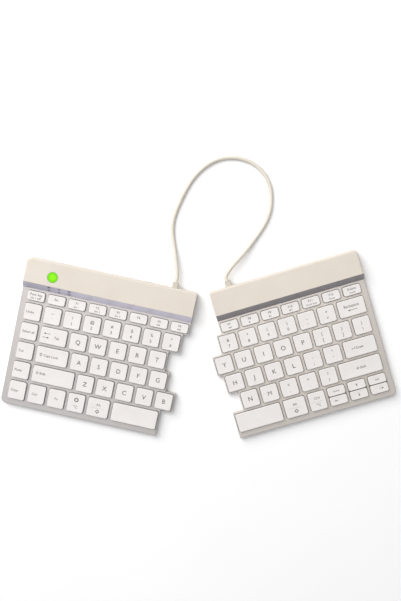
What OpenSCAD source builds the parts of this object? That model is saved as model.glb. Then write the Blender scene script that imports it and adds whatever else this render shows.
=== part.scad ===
// Low, wireless split keyboard: two halves that interlock along a stepped edge
// and are joined by one short captive cable. All sizes are in millimetres.
// Both halves are drawn in the frame of the closed keyboard (X along the rows
// from the first key column, Y from the rear edge towards the user as negative
// values, Z up from the desk) and are then turned and moved to where they lie.

/* [Key field] */
// Distance between key centres along a row
key_pitch = 19.05; // [18:0.05:20]
// Distance between the letter rows
row_pitch = 18.8; // [17.5:0.1:20]
// Gap between neighbouring key caps
key_gap = 2.95; // [2.6:0.05:3.4]
// Width of the whole key field, both halves together, in key pitches
field_units = 15.5; // [15.2:0.1:16]
// Depth of the caps in the function row
function_cap_depth = 9; // [8.5:0.1:11]
// Depth of the caps in the front row
front_cap_depth = 17.6; // [16.5:0.1:20]
// Gap between the two halves of a navigation key
arrow_gap = 0.6; // [0.4:0.1:1.2]
// Width of the tab key in key pitches
tab_units = 1.5; // [1.4:0.05:1.6]
// Width of the caps lock key in key pitches
caps_units = 1.75; // [1.6:0.05:1.9]
// Width of the left shift key in key pitches
shift_units = 2.25; // [2.1:0.05:2.4]
// Width of the alt keys in key pitches
alt_units = 1.25; // [1.1:0.05:1.4]
// Width of the left space bar in key pitches
space_units = 2.45; // [2.2:0.05:2.6]

/* [Key caps] */
// How far a key goes down
key_travel = 1.8; // [1:0.1:2.2]
// How far a pressed cap still stands above the deck
pressed_proud = 0.2; // [0.1:0.05:0.6]
// Height of a cap from its rim to its top
cap_height = 2.7; // [2.5:0.1:3.2]
// Thickness of a cap's roof
cap_roof = 1.1; // [0.8:0.1:1.3]
// Thickness of a cap's skirt
cap_skirt = 0.9; // [0.7:0.1:1.2]
// Radius of a cap's corners
cap_corner = 1.8; // [1:0.1:2.5]
// How far the skirt leans in from rim to top
cap_draft = 0.25; // [0.1:0.05:0.4]
// Chamfer round the top of a cap
cap_chamfer = 0.35; // [0.2:0.05:0.6]
// Clearance between a cap and its opening
cap_clearance = 0.35; // [0.25:0.05:0.55]
// Length of the raised bars on the two homing keys
homing_length = 3.2; // [2:0.1:5]
// Distance of a homing bar from its cap's front edge
homing_setback = 3.2; // [2.4:0.1:5]

/* [Case] */
// Depth of the raised rear bar
bar_depth = 23.4; // [20:0.2:30]
// Depth of the sloping strip in front of the bar, seen from above
strip_depth = 5.7; // [4:0.1:8]
// Deck between the strip and the key field
rear_border = 0.5; // [0.2:0.1:1.5]
// Border between the key field and the case's outer edges
border = 4.5; // [3:0.1:7]
// Height of the rear bar above the desk
bar_height = 13; // [12:0.2:16]
// Height of the deck between the keys above the desk
deck_height = 6.8; // [6.4:0.1:7.6]
// Thickness of the deck
deck_thickness = 1.4; // [1:0.1:1.8]
// Thickness of the outer walls
wall = 1.6; // [1.2:0.1:2]
// Thickness of the wall along the stepped split edge
split_wall = 0.7; // [0.5:0.05:0.75]
// Gap that each half leaves along the split edge
split_clearance = 0.3; // [0.1:0.05:0.4]
// Radius of the case's outer corners
case_corner = 5; // [3:0.5:8]
// Radius of the corners at the rear end of the split edge
inner_corner = 2; // [1:0.25:3]
// Radius along the rear bar's outer top edges
bar_round = 2; // [1:0.25:4]
// Radius along the deck's outer top edges
deck_round = 0.8; // [0.5:0.1:2.5]
// Height of the line where base and upper case meet
parting_height = 4; // [3.8:0.1:4.4]
// Thickness of the base's floor
floor_thickness = 1.4; // [1:0.1:1.6]
// How far the base stands in from the upper case
base_reveal = 0.4; // [0.2:0.1:0.5]
// Thickness of the sloping strip, measured upright
strip_thickness = 1.8; // [1.4:0.1:2]

/* [Feet and fasteners] */
// Height of the rubber feet below the base
foot_height = 1.2; // [0.8:0.1:1.4]
// Depth of the recess that holds a foot
foot_recess = 0.5; // [0.3:0.1:0.7]
// Length of a foot
foot_length = 22; // [14:1:30]
// Width of a foot
foot_width = 7; // [5:0.5:9]
// Distance of the feet from the case's edges
foot_inset = 8; // [6:0.5:12]
// Radius of a screw's shank
screw_r = 0.95; // [0.8:0.05:1.2]
// Radius of a screw's head
screw_head_r = 1.9; // [1.6:0.1:2.2]
// Height of a screw's head
screw_head_height = 0.8; // [0.6:0.1:0.9]
// Length of a screw's shank
screw_length = 6; // [5:0.5:7]
// Radius of the bosses that take the screws
boss_r = 2.6; // [2.2:0.1:3.2]

/* [Key mechanism] */
// Thickness of the steel key plate
plate_thickness = 0.4; // [0.3:0.05:0.5]
// Thickness of the membrane circuit
membrane_thickness = 0.3; // [0.2:0.05:0.4]
// Length of a scissor link
link_length = 10; // [9:0.5:11]
// Width across the outer scissor link of a full-depth key
link_width = 10.6; // [9:0.2:11]
// Thickness of the scissor links
link_thickness = 0.8; // [0.6:0.1:1]
// Width of the bars of a scissor link
link_bar = 0.7; // [0.5:0.1:0.9]
// Radius of the scissor pivot pins
pivot_r = 0.35; // [0.25:0.05:0.4]
// Width of the plate's hooks that hold the links down
hook_width = 2.4; // [1.6:0.1:3]
// Thickness of the hooks
hook_sheet = 0.4; // [0.3:0.05:0.5]
// Key width, in key pitches, from which a key has two scissors
wide_units = 2; // [1.9:0.1:2.1]

/* [Electronics] */
// Height of the cable and socket axis above the desk
port_height = 7; // [6.6:0.1:7.6]
// Thickness of the circuit boards
board_thickness = 1; // [0.8:0.1:1.2]
// Length of the left circuit board
left_board_length = 56; // [48:1:60]
// Length of the right circuit board
right_board_length = 46; // [40:1:60]
// Depth of the circuit boards
board_depth = 15; // [13:0.5:16]
// Length of the battery
battery_length = 56; // [40:1:60]
// Depth of the battery
battery_depth = 17; // [14:0.5:18]
// Thickness of the battery
battery_thickness = 4.6; // [3.6:0.2:5]
// Distance of the charging socket from the split edge
charge_port_offset = 46; // [40:1:52]
// Distance of the power switch from the split edge
switch_offset = 62; // [58:1:66]
// How far the power switch slides
switch_travel = 2.5; // [2:0.1:3]
// Distance of the round break light from the first key column
break_light_x = 22.5; // [18:0.5:30]
// Radius of the break light
break_light_r = 5; // [3.5:0.25:6]
// Distance of the first indicator from the first key column
indicator_x = 20.6; // [16:0.2:24]
// Distance between the indicators
indicator_pitch = 9.7; // [8:0.1:11]

/* [Cable] */
// Diameter of the cable
cable_d = 3.6; // [3:0.1:4]
// Width of a strain relief
relief_width = 6; // [5.4:0.1:7]
// Height of a strain relief
relief_height = 5.4; // [5:0.1:6]
// How far a strain relief stands out of the case
relief_length = 5.2; // [4.5:0.1:7]
// Distance of the left cable exit from the split edge
left_exit_offset = 22; // [20:0.5:24]
// Distance of the right cable exit from the split edge
right_exit_offset = 19.5; // [18:0.5:22]

/* [Placement] */
// Turn of the left half on the desk, in degrees
left_yaw = -12.2; // [-16:0.1:0]
// Turn of the right half on the desk, in degrees
right_yaw = 16.5; // [0:0.1:20]
// Distance between the rear inner corners of the two halves
inner_gap = 10.2; // [8:0.1:40]
// How much further back the right half lies than the left half
right_lead = 0.6; // [0:0.1:3]

/* [Hidden] */
$fn = 48;
LEFT = 0;
RIGHT = 1;
touch = 0.05; // room between pieces that lie against each other
through = 1; // how far a cutting tool runs past a face
relief_gap = 0.1; // room round a strain relief in its wall
screw_gap = 0.25; // room round a screw in the base
foot_room = 2; // floor left between a screw and a foot

// Key layout: widths of the keys in each row, in key pitches, rear row first.
// The last key of each right row takes what is left of the key field.
function_count = 15;
arrow_count = 3;
function_units = field_units / function_count;
LEFT_ROWS = [
  [for (i = [0:7]) function_units],
  [for (i = [0:7]) 1],
  [1, tab_units, 1, 1, 1, 1, 1],
  [1, caps_units, 1, 1, 1, 1, 1],
  [1, shift_units, 1, 1, 1, 1, 1],
  [1, 1, 1, 1, alt_units, space_units]
];
right_space_units =
  field_units - total(LEFT_ROWS[5]) - alt_units - 1 - arrow_count * function_units;
RIGHT_HEADS = [
  [for (i = [0:5]) function_units],
  [1, 1, 1, 1, 1, 1],
  [1, 1, 1, 1, 1, 1, 1],
  [1, 1, 1, 1, 1, 1],
  [1, 1, 1, 1, 1],
  [right_space_units, alt_units, 1, function_units, function_units]
];
RIGHT_ROWS = [
  for (r = [0:5])
    concat(RIGHT_HEADS[r], [field_units - total(LEFT_ROWS[r]) - total(RIGHT_HEADS[r])])
];
ROW_DEPTHS = [
  function_cap_depth + key_gap, row_pitch, row_pitch, row_pitch, row_pitch,
  front_cap_depth + key_gap
];
last_row = len(ROW_DEPTHS) - 1;
arrow_first = len(RIGHT_HEADS[last_row]) - arrow_count + 1;
home_row = 3;
HOME_KEYS = [5, 1]; // places of the homing keys in the left and the right row
homing_width = 0.6;
homing_height = 0.25;

function total(list, n) =
  (is_undef(n) ? len(list) : n) == 0 ? 0
  : list[(is_undef(n) ? len(list) : n) - 1]
    + total(list, (is_undef(n) ? len(list) : n) - 1);

// Main levels and lengths
field_width = field_units * key_pitch;
strip_front = -(bar_depth + strip_depth);
field_rear = strip_front - rear_border;
half_depth = border + total(ROW_DEPTHS) - field_rear;
floor_top = foot_height + floor_thickness;
plate_top = floor_top + plate_thickness;
membrane_top = plate_top + membrane_thickness;
cap_top = deck_height + key_travel + pressed_proud;
cap_rim = cap_top - cap_height;
cap_under = cap_top - cap_roof;
slope = (bar_height - deck_height) / strip_depth;
bar_inside = bar_height - wall;
split_x = [for (r = LEFT_ROWS) total(r) * key_pitch];
row_edge = [for (r = [0:last_row]) field_rear - total(ROW_DEPTHS, r + 1)];

// Which way the case's material lies from the split edge
function inward(side) = side == LEFT ? 1 : -1;
function rows(side) = side == LEFT ? LEFT_ROWS : RIGHT_ROWS;
function outer_x(side) = side == LEFT ? -border : field_width + border;

// Outline of a half, set in from the outer edges and from the split edge
function edge_x(side, r, inset) = split_x[r] - inward(side) * (split_clearance + inset);
function step_y(side, r, inset) =
  row_edge[r] - inward(side) * (split_clearance + inset) * sign(split_x[r + 1] - split_x[r]);
function outline_points(side, outer, split) =
  let (x = outer_x(side) + inward(side) * outer)
  concat(
    [[x, -outer], [edge_x(side, 0, split), -outer]],
    [for (r = [0:last_row - 1]) each [
      [edge_x(side, r, split), step_y(side, r, split)],
      [edge_x(side, r + 1, split), step_y(side, r, split)]
    ]],
    [[edge_x(side, last_row, split), outer - half_depth], [x, outer - half_depth]]
  );

// Cap of key i in a row, as [left, right, front, rear]
function cap_rect(side, r, i) =
  let (x = (side == LEFT ? 0 : split_x[r]) + total(rows(side)[r], i) * key_pitch)
  [
    x + key_gap / 2, x + rows(side)[r][i] * key_pitch - key_gap / 2,
    row_edge[r] + key_gap / 2, row_edge[r] + ROW_DEPTHS[r] - key_gap / 2
  ];
function is_arrow(side, r, i) = side == RIGHT && r == last_row && i >= arrow_first;
function rear_part(q) = [q[0], q[1], (q[2] + q[3] + arrow_gap) / 2, q[3]];
function front_part(q) = [q[0], q[1], q[2], (q[2] + q[3] - arrow_gap) / 2];
function row_caps(side, r) = [
  for (i = [0:len(rows(side)[r]) - 1])
    let (q = cap_rect(side, r, i))
    each is_arrow(side, r, i) ? [rear_part(q), front_part(q)] : [q]
];
function all_caps(side) = [for (r = [0:last_row]) each row_caps(side, r)];
function all_openings(side) =
  [for (r = [0:last_row]) for (i = [0:len(rows(side)[r]) - 1]) cap_rect(side, r, i)];

// Where the halves lie: each is turned about its rear inner corner, and the
// origin is under the middle of the footprint of both
function yaw(side) = side == LEFT ? left_yaw : right_yaw;
function turned(p, a) = [p[0] * cos(a) - p[1] * sin(a), p[0] * sin(a) + p[1] * cos(a)];
function laid(side, p) =
  turned([p[0] - split_x[0], p[1]], yaw(side))
  + [-inward(side) * inner_gap / 2, side == LEFT ? 0 : right_lead];
function footprint(side) =
  let (x = outer_x(side) + inward(side) * case_corner)
  [
    [laid(side, [x, -case_corner]), case_corner],
    [laid(side, [x, case_corner - half_depth]), case_corner],
    [laid(side, [edge_x(side, 0, 0), 0]), 0],
    [laid(side, [edge_x(side, last_row, 0), -half_depth]), 0]
  ];
FOOTPRINT = concat(footprint(LEFT), footprint(RIGHT));
centre = [
  for (k = [0, 1])
    (max([for (c = FOOTPRINT) c[0][k] + c[1]]) + min([for (c = FOOTPRINT) c[0][k] - c[1]])) / 2
];
function on_desk(side, p) = laid(side, p) - centre;

// Charging socket and power switch
port_wide = 8.94;
port_tall = 3.26;
port_long = 7.3;
port_sheet = 0.3;
tongue_tall = 0.7;
switch_knob = [3, 2.2];
switch_sunk = 0.3; // how far the knob stays inside the wall
switch_slider = [6, 3.2, 1.6];
switch_gap = 0.15;

// Places along the rear bar
boss_inset = 8;
boss_setback = 11.8;
function boss_places(side) = [
  outer_x(side) + inward(side) * boss_inset,
  (outer_x(side) + edge_x(side, 0, 0)) / 2,
  edge_x(side, 0, 0) - inward(side) * boss_inset
];
boss_y = -boss_setback;
exit_offset = [left_exit_offset, right_exit_offset];
function exit_x(side) = split_x[0] - inward(side) * exit_offset[side];
board_length = [left_board_length, right_board_length];
board_gap = 1.6;
board_top = port_height - port_tall / 2;
board_y = -wall - board_gap - board_depth / 2;
function board_x(side) =
  (boss_places(side)[1] + boss_places(side)[2]) / 2;

// Indicator windows in the sloping strip
indicator_count = 3;
indicator_size = [2.6, 0.9];
indicator_drop = 1.2;

// Battery and lens details
battery_round = 1.5;
lens_flange = 1;
lens_flange_height = 0.8;
lens_edge = 0.4; // chamfer round the lens
break_light_drop = 2.8;
support_r = 1.4;

// Strain relief details
relief_groove = 1.2;
relief_flange = 1.2;
relief_round = 1;
relief_ribs = 3;
rib_depth = 0.35;

// Dome details
dome_wall = 0.3;
dome_flange = 0.3;
dome_flange_height = 0.25;
dome_crown = 0.55; // radius of the crown as a share of the foot's

// Cable route on the desk between the straight ends, chosen by hand
straight = 4; // straight stretch out of each strain relief
rest_z = cable_d / 2;
CABLE_MIDDLE = [
  [-18.4, 68.6, 6.8], [-19.3, 76, 5.9], [-20.5, 85, 4.3], [-22, 94.6, 2.7],
  [-23.1, 105.4, rest_z], [-22.5, 115.6, rest_z], [-19.6, 125.6, rest_z], [-15.4, 135.4, rest_z],
  [-10.6, 145, rest_z], [-4.7, 154.4, rest_z], [2.7, 162.7, rest_z], [11.6, 169.4, rest_z],
  [21.8, 173.7, rest_z], [32.6, 174.8, rest_z], [42.8, 173.2, rest_z], [51.7, 169.4, rest_z],
  [59, 163.6, rest_z], [64.5, 156.2, rest_z], [68, 147, rest_z], [69, 136.8, rest_z],
  [68.1, 126.5, rest_z], [64.8, 116.7, rest_z], [59.5, 107.4, rest_z], [53.1, 98.3, 2.3],
  [46.6, 89.8, 3.6], [40.4, 82.4, 5.2], [34.6, 76, 6.5], [29.8, 69.8, 7]
];
cable_sides = 8;
rings_per_span = 2;

// Helpers

// Puts a half where it lies on the desk
module lay(side) {
  translate([on_desk(side, [split_x[0], 0])[0], on_desk(side, [split_x[0], 0])[1], 0])
    rotate(yaw(side))
      translate([-split_x[0], 0, 0])
        children();
}

// Draws its children between two heights
module between(low, high) {
  translate([0, 0, low])
    linear_extrude(high - low)
      children();
}

// Rectangle [left, right, front, rear], grown by g, with round corners
module round_rect(q, r, g = 0) {
  x0 = q[0] - g;
  x1 = q[1] + g;
  y0 = q[2] - g;
  y1 = q[3] + g;
  translate([x0 + r, y0]) square([x1 - x0 - 2 * r, y1 - y0]);
  translate([x0, y0 + r]) square([x1 - x0, y1 - y0 - 2 * r]);
  for (x = [x0 + r, x1 - r], y = [y0 + r, y1 - r]) translate([x, y]) circle(r);
}

// Slot with round ends, centred on the origin
module slot(size) {
  square([size[0] - size[1], size[1]], center = true);
  for (s = [-1, 1]) translate([s * (size[0] - size[1]) / 2, 0]) circle(size[1] / 2);
}

// What a round corner of radius r takes off a square corner at the origin
module corner_waste(r) {
  difference() {
    translate([-through, -through]) square(r + through);
    translate([r, r]) circle(r);
  }
}

// Plan of a half
module outline(side, outer = 0, split = 0) {
  r = max(case_corner - outer, touch);
  x = outer_x(side) + inward(side) * outer;
  difference() {
    polygon(outline_points(side, outer, split));
    translate([edge_x(side, 0, split), -outer])
      mirror([1 - side, 0, 0])
        mirror([0, 1, 0])
          corner_waste(max(inner_corner - max(outer, split), touch));
    for (rear = [0, 1])
      translate([x, rear ? -outer : outer - half_depth])
        mirror([side, 0, 0])
          mirror([0, rear, 0])
            corner_waste(r);
  }
}

// What rounding takes off an edge whose corner is at the origin, outside to the right
module edge_waste(r) {
  translate([-r, -r])
    difference() {
      square(r + through);
      circle(r);
    }
}

// What rounding takes off the top edges along a half's outer side, its front or
// rear, and the corner between them
module soft_edges(side, rear, r, height) {
  translate([outer_x(side), rear ? 0 : -half_depth, height])
    mirror([side, 0, 0])
      mirror([0, rear, 0]) {
        translate([0, half_depth, 0])
          rotate([90, 0, 0])
            linear_extrude(half_depth - case_corner)
              mirror([1, 0, 0])
                edge_waste(r);
        translate([case_corner, 0, 0])
          rotate([90, 0, 90])
            linear_extrude(field_width)
              mirror([1, 0, 0])
                edge_waste(r);
        translate([case_corner, case_corner, 0])
          rotate(180)
            rotate_extrude(angle = 90)
              translate([case_corner, 0])
                edge_waste(r);
      }
}

// Plan limited to the deck's stretch, or to the rear bar's with its strip
module deck_stretch() {
  translate([-half_depth, -2 * half_depth])
    square([field_width + 2 * half_depth, 2 * half_depth + strip_front]);
}
module bar_stretch() {
  translate([-half_depth, strip_front])
    square([field_width + 2 * half_depth, half_depth]);
}

// Draws a profile in the YZ plane and runs it along the whole keyboard
module along_x() {
  translate([-half_depth, 0, 0])
    rotate([90, 0, 90])
      linear_extrude(field_width + 2 * half_depth)
        children();
}

// Case

// Long rubber feet near the corners of a half, the rear ones beside the screws
foot_beside = boss_inset + screw_head_r + screw_gap + foot_room + foot_length / 2;
function foot_places(side) =
  let (
    x_outer = outer_x(side) + inward(side) * foot_beside,
    x_rear = edge_x(side, 0, 0) - inward(side) * foot_beside,
    x_front = edge_x(side, last_row, 0) - inward(side) * foot_beside,
    y_rear = -foot_inset - foot_width / 2,
    y_front = foot_inset + foot_width / 2 - half_depth
  )
  [[x_outer, y_rear], [x_rear, y_rear], [x_outer, y_front], [x_front, y_front]];

module feet(side) {
  color("dimgray")
    lay(side)
      for (p = foot_places(side))
        translate([p[0], p[1], 0])
          linear_extrude(foot_height + foot_recess - touch)
            slot([foot_length, foot_width]);
}

// Tray that carries everything else, with recesses for feet and screws
module base_shell(side) {
  color("gainsboro")
    lay(side)
      difference() {
        union() {
          difference() {
            between(foot_height, parting_height) outline(side, base_reveal);
            between(floor_top, parting_height + through) outline(side, wall, split_wall);
          }
          board_supports(side);
        }
        for (p = foot_places(side))
          translate([p[0], p[1], foot_height - through])
            linear_extrude(foot_recess + through)
              slot([foot_length + 2 * touch, foot_width + 2 * touch]);
        for (x = boss_places(side)) translate([x, boss_y, foot_height]) screw_hole();
      }
}

// Counterbored hole for a screw driven from below
module screw_hole() {
  translate([0, 0, -through])
    cylinder(r = screw_head_r + screw_gap, h = screw_head_height + through);
  cylinder(r = screw_r + screw_gap, h = floor_thickness + through);
}

// Posts under the circuit board
module board_supports(side) {
  for (s = [-1, 1])
    translate([board_x(side) + s * (board_length[side] / 2 - 2 * support_r), board_y, floor_top])
      cylinder(r = support_r, h = board_top - board_thickness - floor_top);
}

module screws(side) {
  color("silver")
    lay(side)
      for (x = boss_places(side)) translate([x, boss_y, foot_height]) screw();
}

// Pan-head screw with a cross recess, head down
module screw() {
  recess = 0.4;
  difference() {
    union() {
      cylinder(r = screw_head_r, h = screw_head_height - touch);
      cylinder(r = screw_r, h = screw_length);
    }
    for (a = [0, 90])
      rotate(a)
        translate([-screw_head_r / 2, -recess / 2, -through])
          cube([screw_head_r, recess, through + recess]);
  }
}

// Deck between the keys, with a skirt down to the base
module top_frame(side) {
  color("lightgray")
    lay(side) {
      difference() {
        between(parting_height, deck_height) intersection() {
          outline(side);
          deck_stretch();
        }
        between(parting_height - through, deck_height - deck_thickness) intersection() {
          outline(side, wall, split_wall);
          deck_stretch();
        }
        between(parting_height, deck_height + through)
          for (q = all_openings(side)) round_rect(q, cap_corner + cap_clearance, cap_clearance);
        soft_edges(side, 0, deck_round, deck_height);
      }
    }
}

// Outer form of the rear bar, round along its rear and its outer end
module bar_envelope(side) {
  difference() {
    between(parting_height, bar_height) intersection() {
      outline(side);
      bar_stretch();
    }
    soft_edges(side, 1, bar_round, bar_height);
  }
}

// Height of the pocket floor under the strip
function pocket_z(y) = bar_height - strip_thickness + slope * (y + bar_depth);

// Side profile of the rear bar with the pocket for the strip
module bar_profile() {
  polygon([
    [through, parting_height], [through, bar_height], [-bar_depth, bar_height],
    [-bar_depth, pocket_z(-bar_depth)], [strip_front, pocket_z(strip_front)],
    [strip_front, parting_height]
  ]);
}

// Hollow of the rear bar
module bar_hollow(side) {
  y_top = ((bar_inside - bar_height + strip_thickness + wall) / slope) - bar_depth;
  y_low = ((parting_height - bar_height + strip_thickness + wall) / slope) - bar_depth;
  intersection() {
    along_x() polygon([
      [-wall, parting_height - through], [-wall, bar_inside], [y_top, bar_inside],
      [y_low, parting_height], [y_low, parting_height - through]
    ]);
    between(0, bar_height) intersection() {
      outline(side, wall, wall);
      bar_stretch();
    }
  }
}

// Raised rear housing over the boards and the battery
module rear_cover(side) {
  color("antiquewhite")
    lay(side)
      difference() {
        union() {
          difference() {
            intersection() {
              bar_envelope(side);
              along_x() bar_profile();
            }
            bar_hollow(side);
          }
          for (x = boss_places(side))
            translate([x, boss_y, floor_top + touch])
              cylinder(r = boss_r, h = bar_inside + touch - floor_top);
        }
        for (x = boss_places(side))
          translate([x, boss_y, floor_top])
            cylinder(r = screw_r + touch, h = screw_length);
        relief_opening(side);
        if (side == LEFT) {
          break_light_hole();
          charge_port_hole();
          switch_slot();
        }
      }
}

// Sloping trim strip along the front of the rear bar
module strip_body(side) {
  intersection() {
    bar_envelope(side);
    along_x() polygon([
      [-bar_depth - touch, bar_height - slope * touch], [strip_front, deck_height],
      [strip_front, pocket_z(strip_front) + touch],
      [-bar_depth - touch, pocket_z(-bar_depth)]
    ]);
  }
}

module light_strip(side) {
  color("slategray")
    lay(side)
      difference() {
        strip_body(side);
        if (side == LEFT) indicator_windows(0);
      }
}

// Upright windows through the strip, shrunk by a gap
module indicator_windows(gap) {
  for (i = [0:indicator_count - 1])
    translate([indicator_x + i * indicator_pitch, -bar_depth - indicator_drop, 0])
      linear_extrude(2 * bar_height)
        square(indicator_size - [2 * gap, 2 * gap], center = true);
}

module indicator_lights() {
  color("darkslategray")
    lay(LEFT)
      intersection() {
        strip_body(LEFT);
        indicator_windows(touch);
      }
}

// Round light that tells the user to take a break
module break_light_hole() {
  translate([break_light_x, boss_y - break_light_drop, bar_inside - through])
    cylinder(r = break_light_r + touch, h = wall + 2 * through);
}

module break_light() {
  color("limegreen")
    lay(LEFT)
      translate([break_light_x, boss_y - break_light_drop, 0]) {
        translate([0, 0, bar_inside - lens_flange_height - touch])
          cylinder(r = break_light_r + lens_flange, h = lens_flange_height);
        translate([0, 0, bar_inside - 2 * touch])
          cylinder(r = break_light_r, h = wall + 2 * touch - lens_edge);
        translate([0, 0, bar_height - lens_edge])
          cylinder(r1 = break_light_r, r2 = break_light_r - lens_edge, h = lens_edge);
      }
}

// Electronics

// Rounded socket form, lying along Y and centred on its axis
module socket_form(size, length) {
  rotate([90, 0, 0]) linear_extrude(length) slot(size);
}

function charge_port_x() = split_x[0] - charge_port_offset;

module charge_port_hole() {
  translate([charge_port_x(), through, port_height])
    socket_form([port_wide + 4 * touch, port_tall + 4 * touch], wall + 2 * through);
}

// Sheet-metal charging socket with its contact tongue
module charge_port() {
  sheet = 2 * port_sheet;
  color("silver")
    lay(LEFT)
      translate([charge_port_x(), -touch, port_height]) {
        difference() {
          socket_form([port_wide, port_tall], port_long);
          translate([0, through, 0])
            socket_form(
              [port_wide - sheet, port_tall - sheet], port_long + through - port_sheet
            );
        }
        translate([-port_wide / 4, -port_long + port_sheet / 2, -tongue_tall / 2])
          cube([port_wide / 2, port_long * 2 / 3, tongue_tall]);
      }
}

function switch_x() = split_x[0] - switch_offset;

// Opening that the switch knob slides in
module switch_slot() {
  translate([
    switch_x() - switch_knob[0] / 2 - switch_gap, -wall - through,
    port_height - switch_knob[1] / 2 - switch_gap
  ])
    cube([
      switch_knob[0] + switch_travel + 2 * switch_gap, wall + 2 * through,
      switch_knob[1] + 2 * switch_gap
    ]);
}

// Ribbed knob on a slider that runs behind the wall
module power_switch() {
  ribs = 3;
  rib = 0.4;
  color("dimgray")
    lay(LEFT)
      translate([switch_x(), 0, port_height]) {
        translate([-switch_slider[0] / 2, -wall - switch_gap - switch_slider[2], -switch_slider[1] / 2])
          cube([switch_slider[0], switch_slider[2], switch_slider[1]]);
        difference() {
          translate([-switch_knob[0] / 2, -wall - switch_gap - touch, -switch_knob[1] / 2])
            cube([switch_knob[0], wall + switch_gap + touch - switch_sunk, switch_knob[1]]);
          for (i = [0:ribs - 1])
            translate([(i - (ribs - 1) / 2) * 2 * rib - rib / 2, -switch_sunk - rib, -switch_knob[1]])
              cube([rib, 2 * rib, 2 * switch_knob[1]]);
        }
      }
}

// Board with its chips, on the base's posts
module circuit_board(side) {
  chips = [[0.3, 7, 7, 0.9], [-0.15, 5, 4, 1.2], [-0.36, 4, 5, 1]];
  length = board_length[side];
  color("darkgreen")
    lay(side)
      translate([board_x(side), board_y, board_top - board_thickness + touch]) {
        translate([-length / 2, -board_depth / 2, 0])
          cube([length, board_depth, board_thickness - 2 * touch]);
        for (c = chips)
          translate([inward(side) * c[0] * length - c[1] / 2, -c[2] / 2 - 4, 0])
            cube([c[1], c[2], board_thickness + c[3]]);
      }
}

// Flat pouch cell beside the board
module battery() {
  x = (boss_places(LEFT)[0] + boss_places(LEFT)[1]) / 2;
  y = -wall - board_gap - battery_depth / 2;
  color("lightsteelblue")
    lay(LEFT)
      between(floor_top + touch, floor_top + touch + battery_thickness)
        round_rect(
          [
            x - battery_length / 2, x + battery_length / 2,
            y - battery_depth / 2, y + battery_depth / 2
          ],
          battery_round
        );
}

// Key mechanism

// Sheet under the whole key field
module field_sheet(side, low, high) {
  between(low, high) intersection() {
    outline(side, wall + touch, split_wall + touch);
    translate([0, -touch]) deck_stretch();
  }
}

// Steel plate with hooks that reach through the membrane and over the links' lower bars
module key_plate(side) {
  color("silver")
    lay(side) {
      field_sheet(side, floor_top, plate_top);
      between(plate_top - touch, hook_low + hook_sheet) hook_plan(side, hook_post);
      between(hook_low, hook_low + hook_sheet) hook_plan(side, hook_tip);
    }
}

module membrane(side) {
  color("cornsilk")
    lay(side)
      difference() {
        field_sheet(side, plate_top, membrane_top);
        between(plate_top - through, membrane_top + through) hook_plan(side, hook_post, touch);
      }
}

// Room for a scissor under a cap, and the places of its scissors
function link_room(q) =
  min(link_width, q[3] - q[2] - 2 * (cap_skirt + cap_draft) - 2 * cap_clearance);
function inner_room(q) = link_room(q) - 2 * link_bar - 4 * touch;
function scissor_places(q) =
  let (w = q[1] - q[0], x = (q[0] + q[1]) / 2, y = (q[2] + q[3]) / 2)
  w > wide_units * key_pitch - key_gap
    ? [for (s = [-1, 1]) [x + s * (w / 2 - link_length), y]]
    : [[x, y]];
link_angle = asin((cap_under - membrane_top - 2 * touch - link_thickness) / link_length);
link_centre = (cap_under + membrane_top) / 2;

// Hooks, from the middle of a scissor outwards: tip over the middle of a link's
// lower bar, post past the link's end, and the height of the tip's underside
hook_gap = 0.1;
hook_tip = (link_length - link_bar) / 2 * cos(link_angle) + link_thickness / 2 * sin(link_angle);
hook_post = link_length / 2 * cos(link_angle) + link_thickness / 2 * sin(link_angle) + hook_gap;
hook_low =
  link_centre - (link_length - link_bar) / 2 * sin(link_angle)
  + link_thickness / 2 * cos(link_angle) + hook_gap;

// Plan of the hooks from a distance out to their backs
module hook_plan(side, from, gap = 0) {
  length = hook_post + hook_sheet - from;
  for (q = all_caps(side)) for (p = scissor_places(q)) for (s = [-1, 1])
    translate([p[0] + s * (from + length / 2), p[1]])
      square([length + 2 * gap, hook_width + 2 * gap], center = true);
}

// Flat frame of a scissor link, centred
module link_frame(width) {
  difference() {
    cube([link_length, width, link_thickness], center = true);
    cube([link_length - 2 * link_bar, width - 2 * link_bar, 2 * link_thickness], center = true);
  }
}

// Outer link with the two bored ears that the pins turn in
module outer_link(width) {
  difference() {
    union() {
      link_frame(width);
      for (s = [-1, 1])
        translate([0, s * (width - link_bar) / 2, 0])
          rotate([90, 0, 0])
            cylinder(r = 2 * pivot_r + touch, h = link_bar, center = true);
    }
    rotate([90, 0, 0]) cylinder(r = pivot_r + touch, h = 2 * width, center = true);
  }
}

// Inner link with a pin on each side
module inner_link(width, span) {
  link_frame(width);
  for (s = [-1, 1])
    translate([0, s * (span / 2 - (span - width) / 4 - link_bar / 4), 0])
      rotate([90, 0, 0])
        cylinder(r = pivot_r, h = (span - width) / 2 + link_bar / 2, center = true);
}

module scissor_links(side) {
  color("white")
    lay(side)
      for (q = all_caps(side)) for (p = scissor_places(q))
        translate([p[0], p[1], link_centre]) {
          rotate([0, link_angle, 0]) outer_link(link_room(q));
          rotate([0, -link_angle, 0]) inner_link(inner_room(q), link_room(q));
        }
}

// Silicone dome that presses a cap up
module dome(r, height) {
  body = r - dome_flange;
  crown = body * dome_crown;
  rotate_extrude()
    polygon([
      [body - dome_wall, 0], [r, 0], [r, dome_flange_height], [body, dome_flange_height],
      [crown, height], [0, height], [0, height - dome_wall],
      [crown - dome_wall, height - dome_wall]
    ]);
}

module domes(side) {
  color("gainsboro")
    lay(side)
      for (q = all_caps(side))
        translate([(q[0] + q[1]) / 2, (q[2] + q[3]) / 2, membrane_top])
          dome(inner_room(q) / 2 - link_bar - 2 * touch, cap_under - membrane_top - touch);
}

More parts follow.
